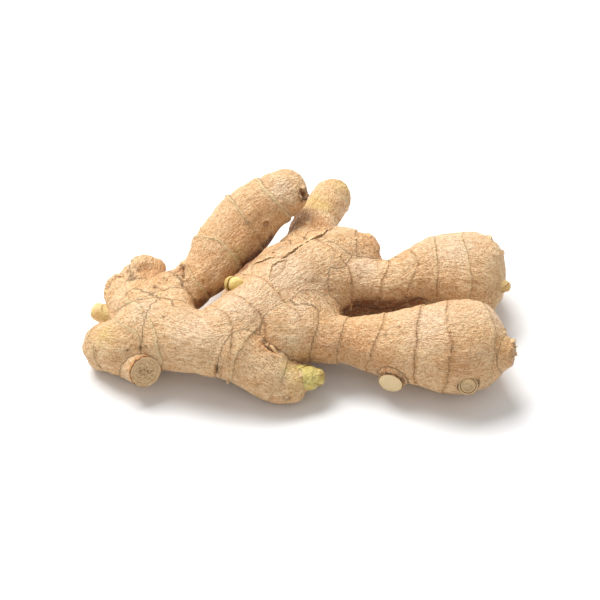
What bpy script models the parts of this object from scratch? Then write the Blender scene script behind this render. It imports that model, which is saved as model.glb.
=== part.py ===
"""A fresh ginger root (rhizome) lying on a table, as one solid.

The root grew in one piece: a knobbly palm at the left, a thick trunk, and fingers that end in blunt
swellings. Each lobe is lofted along a curved centreline, a voxel remesh fuses the lobes into one skin,
and the cut stem stubs and young buds are joined on afterwards. The ground cuts small flats where the
root rests.

The design is in millimetres. +X runs along the trunk, -Y is the front and the ground is z = 0.
"""

import math

import bmesh
import bpy
import numpy as np
from mathutils import Vector, noise

MM = 0.001

# Each lobe is a chain of stations (x, y, z, radius) along its centreline.
LOBES = {
    "palm": ((-61, -20, 7.6, 8), (-55, -22, 10.2, 10), (-47.5, -20, 13, 12), (-40, -21.5, 14.5, 10.5)),
    "palm_back": ((-47.5, -15.5, 13, 11), (-52.7, -1.5, 9.9, 10.4), (-51, 3, 12, 8)),
    "palm_corner": ((-53, -1, 11, 8), (-57.5, 2.5, 11, 5.5)),
    "palm_right": ((-47.5, -11, 14, 9.7), (-40.5, -4.5, 14.3, 8.5)),
    "knob": ((-50.5, 1, 13, 7.2), (-49.5, 6, 16, 5.9)),
    "trunk": (
        (-44, -21, 14, 11.5), (-31, -26.5, 16, 9.6), (-25.5, -26, 16.2, 11.1),
        (-14.5, -17.5, 16.5, 12.1), (-2, -3.5, 16.5, 14.2), (6.5, 3, 16.5, 12.4),
    ),
    "trunk_back": ((-15, -9, 16, 9.8), (-5, 2.8, 17.7, 9.8), (1.5, 12, 16, 8)),
    "upper_finger": (
        (-40.5, -4.5, 14.3, 8.5), (-35, -0.5, 15, 7.5), (-30.1, 4.5, 16.5, 8),
        (-24.8, 12.5, 18.8, 10.1), (-18.5, 21, 21.8, 10.6), (-11.3, 25.5, 27, 9.5), (-3.8, 29, 29.9, 7.7),
    ),
    "back_finger": (
        (0, 6, 16, 11), (3.7, 18.5, 15.4, 8.5), (5.1, 26, 14.4, 8.1), (6.9, 33.6, 13.9, 6.8),
        (11.4, 43.5, 13.9, 6.8),
    ),
    "shoulder": ((9, 9, 17, 11.1), (15.5, 12, 18, 8.8), (21.5, 12, 18, 6.6)),
    "rear_right_finger": (
        (9, -0.5, 16, 11), (17.5, 1.5, 15, 8.4), (28.5, 2.3, 13.3, 8), (37.5, 5.6, 13.7, 9.4),
        (46.5, 7, 14.1, 12.8), (54.8, 5.8, 13.9, 14.6),
    ),
    "front_right_finger": (
        (1, -16.5, 15, 11.5), (8.5, -22.5, 14, 8.3), (16.5, -22.5, 13, 7.5), (28, -24.5, 13, 10.2),
        (40.5, -26, 14.3, 13.2), (49, -27.2, 14.6, 15), (52.7, -26.5, 14.7, 14.6),
    ),
    "front_finger": (
        (-19.5, -28.5, 15, 10.4), (-11, -33, 10.5, 8.5), (-6, -34.5, 7.3, 7.7), (-3, -35, 7, 6.7),
    ),
    # Webs and mounds that the swelling lobes share.
    "palm_web": ((-48, -13, 13, 11), (-41, -12, 14, 9.3)),
    "ring_web": ((-10, -20, 15, 11.5), (0, -19.5, 15, 11)),
    "crotch_web": ((0, -10, 15, 11), (5, -13, 14.5, 8.5)),
    "neck_belly": ((15, -4, 8, 6), (25, -1.5, 6.8, 5.3), (34, -1, 7, 5.5), (42, 1, 8, 6.5)),
    "side_mound": ((31, -27, 12, 7), (30.8, -33, 10, 5.4)),
    "tip_mound": ((53, -28, 15, 12.5), (60, -30, 16.3, 8.6), (63.5, -31.5, 17, 5.8)),
}

# Short growths joined on after the skin is smoothed, as chains of the same kind. Stems and side roots
# were cut off flat, and buds have round tips.
CUT_STUBS = {
    "stem_stub": ((-53.2, -25, 7.3, 7.2), (-49.2, -34, 11.2, 5.3)),
    "side_stub": ((31, -30, 11, 4.8), (30.4, -37.2, 8.9, 4.1)),
    "ring_stub": ((52.6, -34, 13.4, 4.2), (53.4, -41.7, 12.6, 3.4)),
    "tip_stub": ((62, -30, 16.5, 5.5), (66.8, -32, 17.2, 3.9)),
}
BUDS = {
    "tip_bud": ((1.5, -35, 9, 3.6), (5.6, -35.3, 9.4, 2.7)),
    "crotch_bud": ((-21.5, -5, 21.5, 2.4), (-19.3, -8.2, 23.6, 2.3)),
    "left_bud": ((-60.5, -8, 9, 3.1), (-64.4, -7.2, 10.2, 2.7)),
}

RING_SIDES = 28
STEP = 1.0            # mm between the rings of a loft
CAP_RINGS = 7
BLUNTNESS = 2.5       # exponent of the superellipse that closes a lobe; 2 is a round end
ROUND_REACH = 0.92    # length of a round end, in radii
CUT_REACH = 0.18      # length of a cut end, in radii
LUMP_DEPTH = 0.04     # share of the radius by which slow lumps vary it
LUMP_SIZE = 13.0      # mm from lump to lump
VOXEL = 0.9
SMOOTHING_PASSES = 12
KEPT_FACES = 0.055      # share of the remeshed triangles that the solid keeps
SKIN_COLOUR = (0.78, 0.53, 0.30, 1.0)


def stations_between(stations, step):
    """Catmull-Rom points (x, y, z, radius) about step apart through the stations."""
    knots = np.array(stations, float)
    knots = np.vstack([2 * knots[0] - knots[1], knots, 2 * knots[-1] - knots[-2]])
    points = []
    for a, b, c, d in zip(knots, knots[1:], knots[2:], knots[3:]):
        count = max(2, round(np.linalg.norm((c - b)[:3]) / step))
        for t in np.arange(count) / count:
            points.append(0.5 * (
                2 * b + (c - a) * t + (2 * a - 5 * b + 4 * c - d) * t**2
                + (3 * b - a - 3 * c + d) * t**3
            ))
    points.append(knots[-2])
    return np.array(points)


def with_blunt_ends(points, reach):
    """Adds the shrinking rings that close a lobe at both ends; reach is their length in radii."""
    def cap(end, before):
        outward = (end - before)[:3]
        outward = outward / np.linalg.norm(outward)
        rings = []
        for a in np.linspace(0, math.pi / 2, CAP_RINGS + 1)[1:]:
            away = reach * end[3] * math.sin(a) ** (2 / BLUNTNESS)
            radius = end[3] * max(0.0, math.cos(a)) ** (2 / BLUNTNESS)
            rings.append([*(end[:3] + outward * away), radius])
        return rings

    return np.array([*cap(points[0], points[1])[::-1], *points, *cap(points[-1], points[-2])])


def lump(place):
    """Slow, fixed variation of the radius, as a factor near 1."""
    return 1 + LUMP_DEPTH * noise.noise(Vector(place) / LUMP_SIZE)


def loft(bm, stations, reach):
    """Adds a closed, round-sectioned body along the stations to the mesh."""
    points = with_blunt_ends(stations_between(stations, STEP), reach)
    across = Vector((0, 0, 1))
    rings = []
    for i, (*centre, radius) in enumerate(points):
        along = Vector(points[min(i + 1, len(points) - 1)][:3] - points[max(i - 1, 0)][:3]).normalized()
        across = (across - across.dot(along) * along).normalized()
        side = along.cross(across)
        centre = Vector(centre)
        if radius < 1e-3:
            rings.append([bm.verts.new(centre * MM)])
            continue
        ring = []
        for k in range(RING_SIDES):
            turn = 2 * math.pi * k / RING_SIDES
            spoke = (math.cos(turn) * across + math.sin(turn) * side) * radius
            ring.append(bm.verts.new((centre + spoke * lump(centre + spoke)) * MM))
        rings.append(ring)
    for a, b in zip(rings, rings[1:]):
        for k in range(RING_SIDES):
            corners = [a[k % len(a)], a[(k + 1) % RING_SIDES % len(a)],
                       b[(k + 1) % RING_SIDES % len(b)], b[k % len(b)]]
            bm.faces.new(list(dict.fromkeys(corners)))


def lofted_object(name, chains, reach):
    """One object that holds a loft for each chain of stations."""
    bm = bmesh.new()
    for stations in chains.values():
        loft(bm, stations, reach)
    bmesh.ops.recalc_face_normals(bm, faces=bm.faces)
    mesh = bpy.data.meshes.new(name)
    bm.to_mesh(mesh)
    bm.free()
    made = bpy.data.objects.new(name, mesh)
    bpy.context.scene.collection.objects.link(made)
    return made


def skin_material():
    """Thin tan skin, dull with a slight sheen."""
    material = bpy.data.materials.new("ginger_skin")
    material.use_nodes = True
    shader = material.node_tree.nodes["Principled BSDF"]
    shader.inputs["Base Color"].default_value = SKIN_COLOUR
    shader.inputs["Roughness"].default_value = 0.6
    shader.inputs["Metallic"].default_value = 0.0
    return material


def fuse(root):
    """Turns the overlapping lofts into one soft-edged skin of few triangles."""
    remesh = root.modifiers.new("fuse_lobes", "REMESH")
    remesh.mode = "VOXEL"
    remesh.voxel_size = VOXEL * MM
    smooth = root.modifiers.new("soften_crotches", "SMOOTH")
    smooth.factor = 0.5
    smooth.iterations = SMOOTHING_PASSES
    decimate = root.modifiers.new("fewer_triangles", "DECIMATE")
    decimate.ratio = KEPT_FACES


def combine(root, helper, operation):
    """Joins or cuts root with a helper object that isn't a part of its own."""
    helper.hide_render = True
    helper.display_type = "WIRE"
    boolean = root.modifiers.new(helper.name, "BOOLEAN")
    boolean.operation = operation
    boolean.solver = "EXACT"
    boolean.object = helper


def ground_block():
    """A block under the ground plane, wider than the root."""
    bm = bmesh.new()
    bmesh.ops.create_cube(bm, size=1)
    bmesh.ops.scale(bm, vec=(220 * MM, 160 * MM, 30 * MM), verts=bm.verts)
    bmesh.ops.translate(bm, vec=(0, 0, -15 * MM), verts=bm.verts)
    mesh = bpy.data.meshes.new("ground")
    bm.to_mesh(mesh)
    bm.free()
    made = bpy.data.objects.new("ground", mesh)
    bpy.context.scene.collection.objects.link(made)
    return made


def centre_on_ground(origin, root):
    """Moves the design so that its origin is the middle of the root's box, on the ground."""
    bpy.context.view_layer.update()
    evaluated = root.evaluated_get(bpy.context.evaluated_depsgraph_get())
    corners = np.array([evaluated.matrix_world @ vertex.co for vertex in evaluated.data.vertices])
    low, high = corners.min(axis=0), corners.max(axis=0)
    origin.location = (-(low[0] + high[0]) / 2, -(low[1] + high[1]) / 2, -low[2])


def main():
    for old in list(bpy.data.objects):
        bpy.data.objects.remove(old)
    origin = bpy.data.objects.new("ground_point", None)
    bpy.context.scene.collection.objects.link(origin)

    root = lofted_object("ginger_root", LOBES, ROUND_REACH)
    root.data.materials.append(skin_material())
    fuse(root)
    stubs = lofted_object("cut_stubs", CUT_STUBS, CUT_REACH)
    combine(root, stubs, "UNION")
    buds = lofted_object("buds", BUDS, ROUND_REACH)
    combine(root, buds, "UNION")
    ground = ground_block()
    combine(root, ground, "DIFFERENCE")
    for piece in (root, stubs, buds, ground):
        piece.parent = origin
    centre_on_ground(origin, root)


main()
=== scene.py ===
# %% [markdown]
# # A fresh ginger root
#
# Ginger is a rhizome: an underground stem that creeps sideways, swells with starch and branches into
# fingers. This lesson builds one hand of it around a finished solid, which fixes its size and place.
# Everything here is in millimetres in the solid's own design axes, +X along the trunk, -Y to the front
# and z = 0 on the table, until a mesh is written out in metres.

# %% Load the solid
import math

import bmesh
import bpy
import numpy as np
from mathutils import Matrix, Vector, noise
from mathutils.bvhtree import BVHTree


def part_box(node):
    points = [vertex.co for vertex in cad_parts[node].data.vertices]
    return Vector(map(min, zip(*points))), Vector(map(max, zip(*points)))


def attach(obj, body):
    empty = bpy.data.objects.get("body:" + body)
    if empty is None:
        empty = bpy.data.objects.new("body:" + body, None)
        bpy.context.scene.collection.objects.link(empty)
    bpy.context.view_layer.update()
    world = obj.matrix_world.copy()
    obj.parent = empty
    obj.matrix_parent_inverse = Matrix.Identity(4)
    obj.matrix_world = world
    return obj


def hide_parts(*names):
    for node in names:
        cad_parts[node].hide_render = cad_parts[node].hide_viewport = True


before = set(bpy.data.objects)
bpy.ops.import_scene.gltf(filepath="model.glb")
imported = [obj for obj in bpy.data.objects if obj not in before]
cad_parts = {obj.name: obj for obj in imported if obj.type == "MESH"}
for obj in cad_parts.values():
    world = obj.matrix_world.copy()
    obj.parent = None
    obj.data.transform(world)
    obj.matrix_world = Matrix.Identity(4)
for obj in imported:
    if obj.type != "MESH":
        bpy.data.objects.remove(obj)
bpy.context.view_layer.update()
MM = 0.001
low, high = (np.array(corner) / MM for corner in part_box("ginger_root"))
print("solid from", low.round(1), "to", high.round(1), "mm")

# %% [markdown]
# ## How the root grew
#
# On the real root each swelling is one season's growth that pushed out of a bud on the last one. So the
# form is a set of lobes, each with a centreline and a changing thickness. The solid was made from the
# same lobes; a finer copy of them carries the detail that the solid is too coarse to hold.

# %% The lobes, as chains of (x, y, z, radius)
LOBES = {
    "palm": ((-61, -20, 7.6, 8), (-55, -22, 10.2, 10), (-47.5, -20, 13, 12), (-40, -21.5, 14.5, 10.5)),
    "palm_back": ((-47.5, -15.5, 13, 11), (-52.7, -1.5, 9.9, 10.4), (-51, 3, 12, 8)),
    "palm_corner": ((-53, -1, 11, 8), (-57.5, 2.5, 11, 5.5)),
    "palm_right": ((-47.5, -11, 14, 9.7), (-40.5, -4.5, 14.3, 8.5)),
    "knob": ((-50.5, 1, 13, 7.2), (-49.5, 6, 16, 5.9)),
    "trunk": (
        (-44, -21, 14, 11.5), (-31, -26.5, 16, 9.6), (-25.5, -26, 16.2, 11.1),
        (-14.5, -17.5, 16.5, 12.1), (-2, -3.5, 16.5, 14.2), (6.5, 3, 16.5, 12.4),
    ),
    "trunk_back": ((-15, -9, 16, 9.8), (-5, 2.8, 17.7, 9.8), (1.5, 12, 16, 8)),
    "upper_finger": (
        (-40.5, -4.5, 14.3, 8.5), (-35, -0.5, 15, 7.5), (-30.1, 4.5, 16.5, 8),
        (-24.8, 12.5, 18.8, 10.1), (-18.5, 21, 21.8, 10.6), (-11.3, 25.5, 27, 9.5), (-3.8, 29, 29.9, 7.7),
    ),
    "back_finger": (
        (0, 6, 16, 11), (3.7, 18.5, 15.4, 8.5), (5.1, 26, 14.4, 8.1), (6.9, 33.6, 13.9, 6.8),
        (11.4, 43.5, 13.9, 6.8),
    ),
    "shoulder": ((9, 9, 17, 11.1), (15.5, 12, 18, 8.8), (21.5, 12, 18, 6.6)),
    "rear_right_finger": (
        (9, -0.5, 16, 11), (17.5, 1.5, 15, 8.4), (28.5, 2.3, 13.3, 8), (37.5, 5.6, 13.7, 9.4),
        (46.5, 7, 14.1, 12.8), (54.8, 5.8, 13.9, 14.6),
    ),
    "front_right_finger": (
        (1, -16.5, 15, 11.5), (8.5, -22.5, 14, 8.3), (16.5, -22.5, 13, 7.5), (28, -24.5, 13, 10.2),
        (40.5, -26, 14.3, 13.2), (49, -27.2, 14.6, 15), (52.7, -26.5, 14.7, 14.6),
    ),
    "front_finger": (
        (-19.5, -28.5, 15, 10.4), (-11, -33, 10.5, 8.5), (-6, -34.5, 7.3, 7.7), (-3, -35, 7, 6.7),
    ),
    # Webs and mounds that the swelling lobes share.
    "palm_web": ((-48, -13, 13, 11), (-41, -12, 14, 9.3)),
    "ring_web": ((-10, -20, 15, 11.5), (0, -19.5, 15, 11)),
    "crotch_web": ((0, -10, 15, 11), (5, -13, 14.5, 8.5)),
    "neck_belly": ((15, -4, 8, 6), (25, -1.5, 6.8, 5.3), (34, -1, 7, 5.5), (42, 1, 8, 6.5)),
    "side_mound": ((31, -27, 12, 7), (30.8, -33, 10, 5.4)),
    "tip_mound": ((53, -28, 15, 12.5), (60, -30, 16.3, 8.6), (63.5, -31.5, 17, 5.8)),
}
CUT_STUBS = {   # side growths that were sliced off
    "stem_stub": ((-52.4, -25, 7.3, 7.2), (-48.2, -34, 11.2, 5.2)),
    "side_stub": ((31.5, -30, 9.3, 4.8), (29.5, -36.8, 9.1, 4.1)),
    "ring_stub": ((53, -35.2, 9, 4.4), (53.3, -41.2, 12.3, 3.4)),
    "tip_stub": ((62, -30, 16.5, 5.5), (66.8, -32, 17.2, 3.9)),
}
RING_SIDES = 28
CAP_RINGS = 7
BLUNTNESS = 2.5       # exponent of the superellipse that closes a lobe
ROUND_REACH = 0.92    # length of a round end, in radii
CUT_REACH = 0.18      # length of a cut end, in radii


def stations_between(stations, step):
    """Catmull-Rom points (x, y, z, radius) about step apart through the stations."""
    knots = np.array(stations, float)
    knots = np.vstack([2 * knots[0] - knots[1], knots, 2 * knots[-1] - knots[-2]])
    points = []
    for a, b, c, d in zip(knots, knots[1:], knots[2:], knots[3:]):
        count = max(2, round(np.linalg.norm((c - b)[:3]) / step))
        for t in np.arange(count) / count:
            points.append(0.5 * (
                2 * b + (c - a) * t + (2 * a - 5 * b + 4 * c - d) * t**2
                + (3 * b - a - 3 * c + d) * t**3
            ))
    points.append(knots[-2])
    return np.array(points)


def with_blunt_ends(points, reach):
    """Adds the shrinking rings that close a lobe at both ends; reach is their length in radii."""
    def cap(end, before):
        outward = (end - before)[:3]
        outward = outward / np.linalg.norm(outward)
        rings = []
        for a in np.linspace(0, math.pi / 2, CAP_RINGS + 1)[1:]:
            away = reach * end[3] * math.sin(a) ** (2 / BLUNTNESS)
            radius = end[3] * max(0.0, math.cos(a)) ** (2 / BLUNTNESS)
            rings.append([*(end[:3] + outward * away), radius])
        return rings

    return np.array([*cap(points[0], points[1])[::-1], *points, *cap(points[-1], points[-2])])


def loft(bm, stations, reach, step=1.0, lumps=0.04, sides=RING_SIDES):
    """Adds a closed, round-sectioned body along the stations to the mesh."""
    points = with_blunt_ends(stations_between(stations, step), reach)
    across = Vector((0, 0, 1))
    rings = []
    for i, (*centre, radius) in enumerate(points):
        along = Vector(points[min(i + 1, len(points) - 1)][:3] - points[max(i - 1, 0)][:3]).normalized()
        across = (across - across.dot(along) * along).normalized()
        side = along.cross(across)
        centre = Vector(centre)
        if radius < 1e-3:
            rings.append([bm.verts.new(centre)])
            continue
        ring = []
        for k in range(sides):
            turn = 2 * math.pi * k / sides
            spoke = (math.cos(turn) * across + math.sin(turn) * side) * radius
            ring.append(bm.verts.new(centre + spoke * (1 + lumps * noise.noise((centre + spoke) / 13))))
        rings.append(ring)
    for a, b in zip(rings, rings[1:]):
        for k in range(sides):
            corners = [a[k % len(a)], a[(k + 1) % sides % len(a)],
                       b[(k + 1) % sides % len(b)], b[k % len(b)]]
            bm.faces.new(list(dict.fromkeys(corners)))


def object_from(bm, name):
    """Turns a bmesh into an object of the scene."""
    bmesh.ops.recalc_face_normals(bm, faces=bm.faces)
    mesh = bpy.data.meshes.new(name)
    bm.to_mesh(mesh)
    bm.free()
    made = bpy.data.objects.new(name, mesh)
    bpy.context.scene.collection.objects.link(made)
    return made


lobes = bmesh.new()
for stations in LOBES.values():
    loft(lobes, stations, ROUND_REACH)
skin = object_from(lobes, "ginger_skin")
print(len(LOBES), "lobes,", len(skin.data.vertices), "vertices")

# %% [markdown]
# ## One skin over all the lobes
#
# The lobes grew into each other, so the real skin runs on over every join. Wrapping them in one fine
# voxel mesh and relaxing it gives that: saddles where two fingers meet, and no seam. The sliced stubs go
# on in a second pass, because a knife leaves a crisp edge that the first relaxing would melt.

# %% Fuse, relax, add the stubs
VOXEL = 0.56          # mm
MELTING_PASSES = 31   # of relaxing, which rounds the joins between lobes
CRISP_PASSES = 3      # the same once the sliced stubs are on


def wrap(obj, passes):
    """Wraps the object in one voxel skin and relaxes it."""
    remesh = obj.modifiers.new("wrap", "REMESH")
    remesh.mode = "VOXEL"
    remesh.voxel_size = VOXEL
    relax = obj.modifiers.new("relax", "SMOOTH")
    relax.factor = 0.5
    relax.iterations = passes
    bpy.context.view_layer.update()
    mesh = bpy.data.meshes.new_from_object(obj.evaluated_get(bpy.context.evaluated_depsgraph_get()))
    obj.modifiers.clear()
    obj.data = mesh


wrap(skin, MELTING_PASSES)
whole = bmesh.new()
whole.from_mesh(skin.data)
for stations in CUT_STUBS.values():
    loft(whole, stations, CUT_REACH)
bpy.data.objects.remove(skin)
skin = object_from(whole, "ginger_skin")
wrap(skin, CRISP_PASSES)


def read(data, name):
    """One vector of every item in a mesh collection, as an array."""
    values = np.empty(len(data) * 3, np.float32)
    data.foreach_get(name, values)
    return values.reshape(-1, 3).astype(float)


CALMED = ((5, -15, 20, 8), (-3, -20, 23, 6), (-40, -12, 22, 7), (30.8, -31, 14, 4), (60, -30, 22, 5))
edges = np.empty(len(skin.data.edges) * 2, np.int32)
skin.data.edges.foreach_get("vertices", edges)
edges = edges.reshape(-1, 2)
place = read(skin.data.vertices, "co")
degree = np.bincount(edges.ravel(), minlength=len(place))


def relaxed(values, passes):
    """The values after each was averaged with its neighbours that many times."""
    for _ in range(passes):
        total = (np.bincount(edges[:, 0], values[edges[:, 1]], len(values))
                 + np.bincount(edges[:, 1], values[edges[:, 0]], len(values)))
        values = 0.5 * values + 0.5 * total / degree
    return values


much = np.column_stack([relaxed(place[:, k], 110) for k in range(3)])
for x, y, z, size in CALMED:   # places where the join between lobes has grown out fully
    share = np.exp(-(np.linalg.norm(place - (x, y, z), axis=1) / size) ** 4)[:, None]
    place = place * (1 - share) + much * share
skin.data.vertices.foreach_set("co", place.astype(np.float32).ravel())
skin.data.update()
shift = np.array([*((low + high) / 2 - (place.min(0) + place.max(0)) / 2)[:2], 0])
print(len(skin.data.polygons), "faces; design axes sit", shift.round(2), "mm from the solid's")

# %% [markdown]
# ## Where on a finger
#
# Rings, fibres and wrinkles all follow the finger they are on: rings run round it and fibres run along
# it. So every point of the skin is given its lobe, the distance along that lobe's centreline and the turn
# round it, where 0 is the top and 90 degrees the side that faces front on a finger that points right.

# %% Distance along, turn round and height over every lobe
lines = {name: stations_between(stations, 0.5) for name, stations in LOBES.items()}
lines.update({name: stations_between(stations, 0.5) for name, stations in CUT_STUBS.items()})


def unit(vectors):
    """The same vectors at length one."""
    return vectors / np.maximum(np.linalg.norm(vectors, axis=-1, keepdims=True), 1e-9)


def on_lobe(points, line):
    """Distance along the line, turn in degrees, height over the lobe's surface, distance off the line."""
    centre = line[:, :3]
    tangent = unit(np.gradient(centre, axis=0))
    up = unit(np.array([0, 0, 1.0]) - tangent * tangent[:, 2:])
    side = np.cross(tangent, up)
    reach = np.r_[0, np.cumsum(np.linalg.norm(np.diff(centre, axis=0), axis=1))]
    squares = (centre**2).sum(1)[None] - 2 * points @ centre.T
    near = squares.argmin(1)
    offset = points - centre[near]
    along = reach[near] + (offset * tangent[near]).sum(1)
    aside, above = (offset * side[near]).sum(1), (offset * up[near]).sum(1)
    height = np.linalg.norm(offset, axis=1) - line[near, 3]
    return along, np.degrees(np.arctan2(aside, above)), height, np.hypot(aside, above)


coordinates = {name: on_lobe(place, line) for name, line in lines.items()}
names = list(coordinates)
heights = np.array([coordinates[name][2] for name in names])
own = heights.argmin(0)
along = np.choose(own, [coordinates[name][0] for name in names])
turn = np.radians(np.choose(own, [coordinates[name][1] for name in names]))
off = np.choose(own, [coordinates[name][3] for name in names])
fibre = np.column_stack([off * np.cos(turn), off * np.sin(turn), along + 37.0 * own])
print({name: int((own == i).sum()) for i, name in enumerate(names)})

# %% [markdown]
# ## Hollows and crests
#
# The skin material colours a point in a hollow a darker brown and a point on a crest a paler tan. How hollow
# a point is shows when the skin is relaxed a lot more: points in a crease move out, points on a crest sink.

# %% Measure hollowness
normal = read(skin.data.vertex_normals, "vector")


def hollowness(passes):
    """Millimetres by which relaxing lifts each point."""
    moved = np.column_stack([relaxed(place[:, k], passes) for k in range(3)]) - place
    return (moved * normal).sum(1)


hollow = hollowness(40)
print("hollow from", hollow.min().round(2), "to", hollow.max().round(2), "mm")

# %% [markdown]
# ## Node rings
#
# Each ring on a ginger root is the scar of a scale leaf that once wrapped the growing tip. The older skin
# ends there in a thin raised lip and the next length comes out from under it. A ring isn't a clean circle
# round the finger, so each is given by how far along it lies at a few turns. Some rings still show as a
# thin pale line, and old ones have cracked into dark dashes.

# %% The rings, as (lobe, ((turn, along), ...), how far over other lobes, lip height, darkness)
RINGS = (
    ("upper_finger", ((-35, 10.5), (35, 7.5), (75, 8.5)), 1.5, 0.25, 0.2),
    ("upper_finger", ((0, 22.5), (35, 22), (75, 21), (-90, 22)), 1.5, 0.7, 0.1),
    ("upper_finger", ((-5, 40), (30, 39), (80, 32), (-90, 38)), 1.5, 0.6, 0.0),
    ("upper_finger", ((5, 48), (45, 49), (105, 51), (-90, 48)), 1.5, 0.55, 0.0),
    ("palm", ((-60, 12), (-21, 14.8), (9, 17.3), (25, 20), (50, 22.5), (90, 23)), 1.5, 0.2, 0.1),
    ("palm", ((-60, 7), (-14, 9.6), (15, 11.5), (35, 13.5), (70, 14)), 1.0, 0.1, 0.1),
    ("palm", ((-90, -1), (25, -2.5), (45, 1.5), (75, 0)), 1.0, 0.2, 0.15),
    ("trunk", ((-60, 22), (-10, 23), (15, 23.5), (30, 22.5), (45, 21), (90, 18)), 1.0, 0.3, 0.7),
    ("trunk", ((-60, 30), (5, 31), (20, 31.5), (35, 32), (55, 31), (70, 29.5)), 1.5, 0.25, 0.9),
    ("trunk", ((-60, 42), (0, 41), (20, 40), (55, 40), (65, 39), (90, 36)), 4.8, 0.3, 0.75),
    ("trunk", ((-60, 64), (-10, 67), (25, 68.5), (50, 69), (70, 67), (95, 66), (150, 64)), 3.6, 0.4, 1.0),
    ("back_finger", ((-45, 25.5), (10, 22.5), (90, 30), (180, 27)), 1.5, 0.5, 0.7),
    ("back_finger", ((-60, 37), (50, 38), (100, 40), (180, 38)), 1.5, 0.25, 0.2),
    ("shoulder", ((-60, 10), (30, 11), (120, 11)), 1.2, 0.25, 0.6),
    ("rear_right_finger", ((-15, 22), (35, 17), (80, 17), (180, 20)), 1.5, 0.3, 0.7),
    ("rear_right_finger", ((20, 31), (55, 26), (75, 23.5), (180, 27)), 1.5, 0.2, 0.5),
    ("rear_right_finger", ((0, 37.5), (50, 37), (70, 36), (180, 36)), 1.5, 0.25, 0.3),
    ("rear_right_finger", ((-15, 44.5), (30, 48.5), (55, 50), (180, 46)), 1.5, 0.15, 0.2),
    ("rear_right_finger", ((-25, 54), (-5, 57.5), (40, 59.5), (90, 59), (180, 57)), 1.5, 0.4, 0.1),
    ("front_right_finger", ((-35, 17), (35, 13.5), (70, 12.5), (180, 15)), 1.5, 0.3, 0.5),
    ("front_right_finger", ((0, 29), (45, 27), (105, 24.5), (180, 27)), 1.5, 0.3, 0.6),
    ("front_right_finger", ((20, 41), (50, 40.5), (90, 39.5), (180, 40)), 1.5, 0.3, 0.8),
    ("front_right_finger", ((-10, 48), (40, 50.5), (95, 49.5), (180, 49)), 1.5, 0.25, 0.8),
    ("front_right_finger", ((-5, 62.5), (35, 62.5), (85, 59), (180, 61)), 1.5, 0.25, 0.4),
    ("front_finger", ((20, 1), (55, 2.5), (100, 5), (180, 4)), 0.8, 0.2, 0.3),
    ("front_finger", ((0, 14.5), (60, 15.5), (110, 16.5), (180, 15)), 0.8, 0.15, 0.3),
)


def grain(scale, points=None):
    """Noise from -1 to 1 at every point, with features about scale mm across."""
    return np.array([noise.noise(Vector(p) / scale) for p in (place if points is None else points)])


def fall(values, start, end):
    """1 below start, 0 above end and smooth between."""
    t = np.clip((values - start) / (end - start), 0, 1)
    return 1 - t * t * (3 - 2 * t)


wander = 0.5 * grain(6.0) + 0.25 * grain(1.8)
lift = np.zeros(len(place))
ring_gap = np.full(len(place), 8.0)
ring_side = np.full(len(place), 8.0)   # the same with its sign, negative on the older side
ring_dark = np.zeros(len(place))
lip_points = []
for lobe, course, reach, lip, dark in RINGS:
    far, angle, height, _ = coordinates[lobe]
    course = np.array(sorted(course), float)
    past = far - np.interp(angle, course[:, 0], course[:, 1], period=360) + wander
    there = fall(height, reach, reach + 1.2)
    lift += there * lip * (np.exp(-np.maximum(-past, 0) / 2.0) * fall(past, -0.3, 0.6)
                           - 0.5 * np.exp(-((past - 0.7) / 0.8) ** 2))
    gap = np.abs(past) + 8 * (1 - there)
    lip_points.append(np.flatnonzero((np.abs(past + 0.4) < 0.35) & (there > 0.9)))
    ring_dark = np.where(gap < ring_gap, dark, ring_dark)
    ring_side = np.where(gap < ring_gap, past, ring_side)
    ring_gap = np.minimum(gap, ring_gap)
print(len(RINGS), "rings,", int((ring_gap < 0.5).sum()), "points on them")

# %% [markdown]
# ## Cracks and torn skin
#
# The skin is thin cork. Where two lobes swelled against each other it has split, and the split edges dry
# and curl. Each crack is a line over the surface with a depth and a half width.

# %% The cracks, as (depth, half width, points)
CRACKS = (
    (0.65, 0.4, ((11.5, 17.5, 24), (7.5, 10.5, 27.5), (3, 7, 27.5), (-1, 0.5, 30.5), (-4.5, -3, 30.5))),
    (0.15, 0.4, ((9.5, 10.5, 27.5), (4.5, 4, 28.5), (1.5, 0, 30))),
    (0.4, 0.45, ((-7.5, -2, 30), (-11.5, -1.5, 27.5), (-14.5, 0, 25))),
    (0.25, 0.4, ((-8.5, -11, 30), (-8, -7, 30), (-6, -5, 30.5), (-3.5, -4.5, 31))),
    (0.25, 0.4, ((-3.5, -4.5, 31), (-4.5, -8.5, 30.5), (-7, -11, 30), (-8.5, -11, 30))),
    (1.2, 0.6, ((-36.5, 0.5, 22), (-36.5, -3, 22))),
    (0.25, 0.5, ((-35, -20.5, 24.5), (-32.5, -22.5, 25), (-30.5, -24, 25.5))),
    (0.8, 0.5, ((-25, -37, 16.5), (-25, -37, 14))),
    (0.3, 0.35, ((-6, -23.5, 22.5), (-4.5, -24.5, 21))),
    (0.3, 0.35, ((-4, -23.5, 22.5), (-3, -24.5, 21.5))),
    (0.9, 0.9, ((-10.5, -31, 20), (-8.5, -32, 19), (-6.5, -32, 17))),
    (0.3, 0.4, ((28, 9, 20), (31, 8.5, 21), (33, 7, 21.5))),
    (0.2, 0.3, ((22, 10, 24.5), (24, 8, 24), (26, 10, 22))),
)


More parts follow.
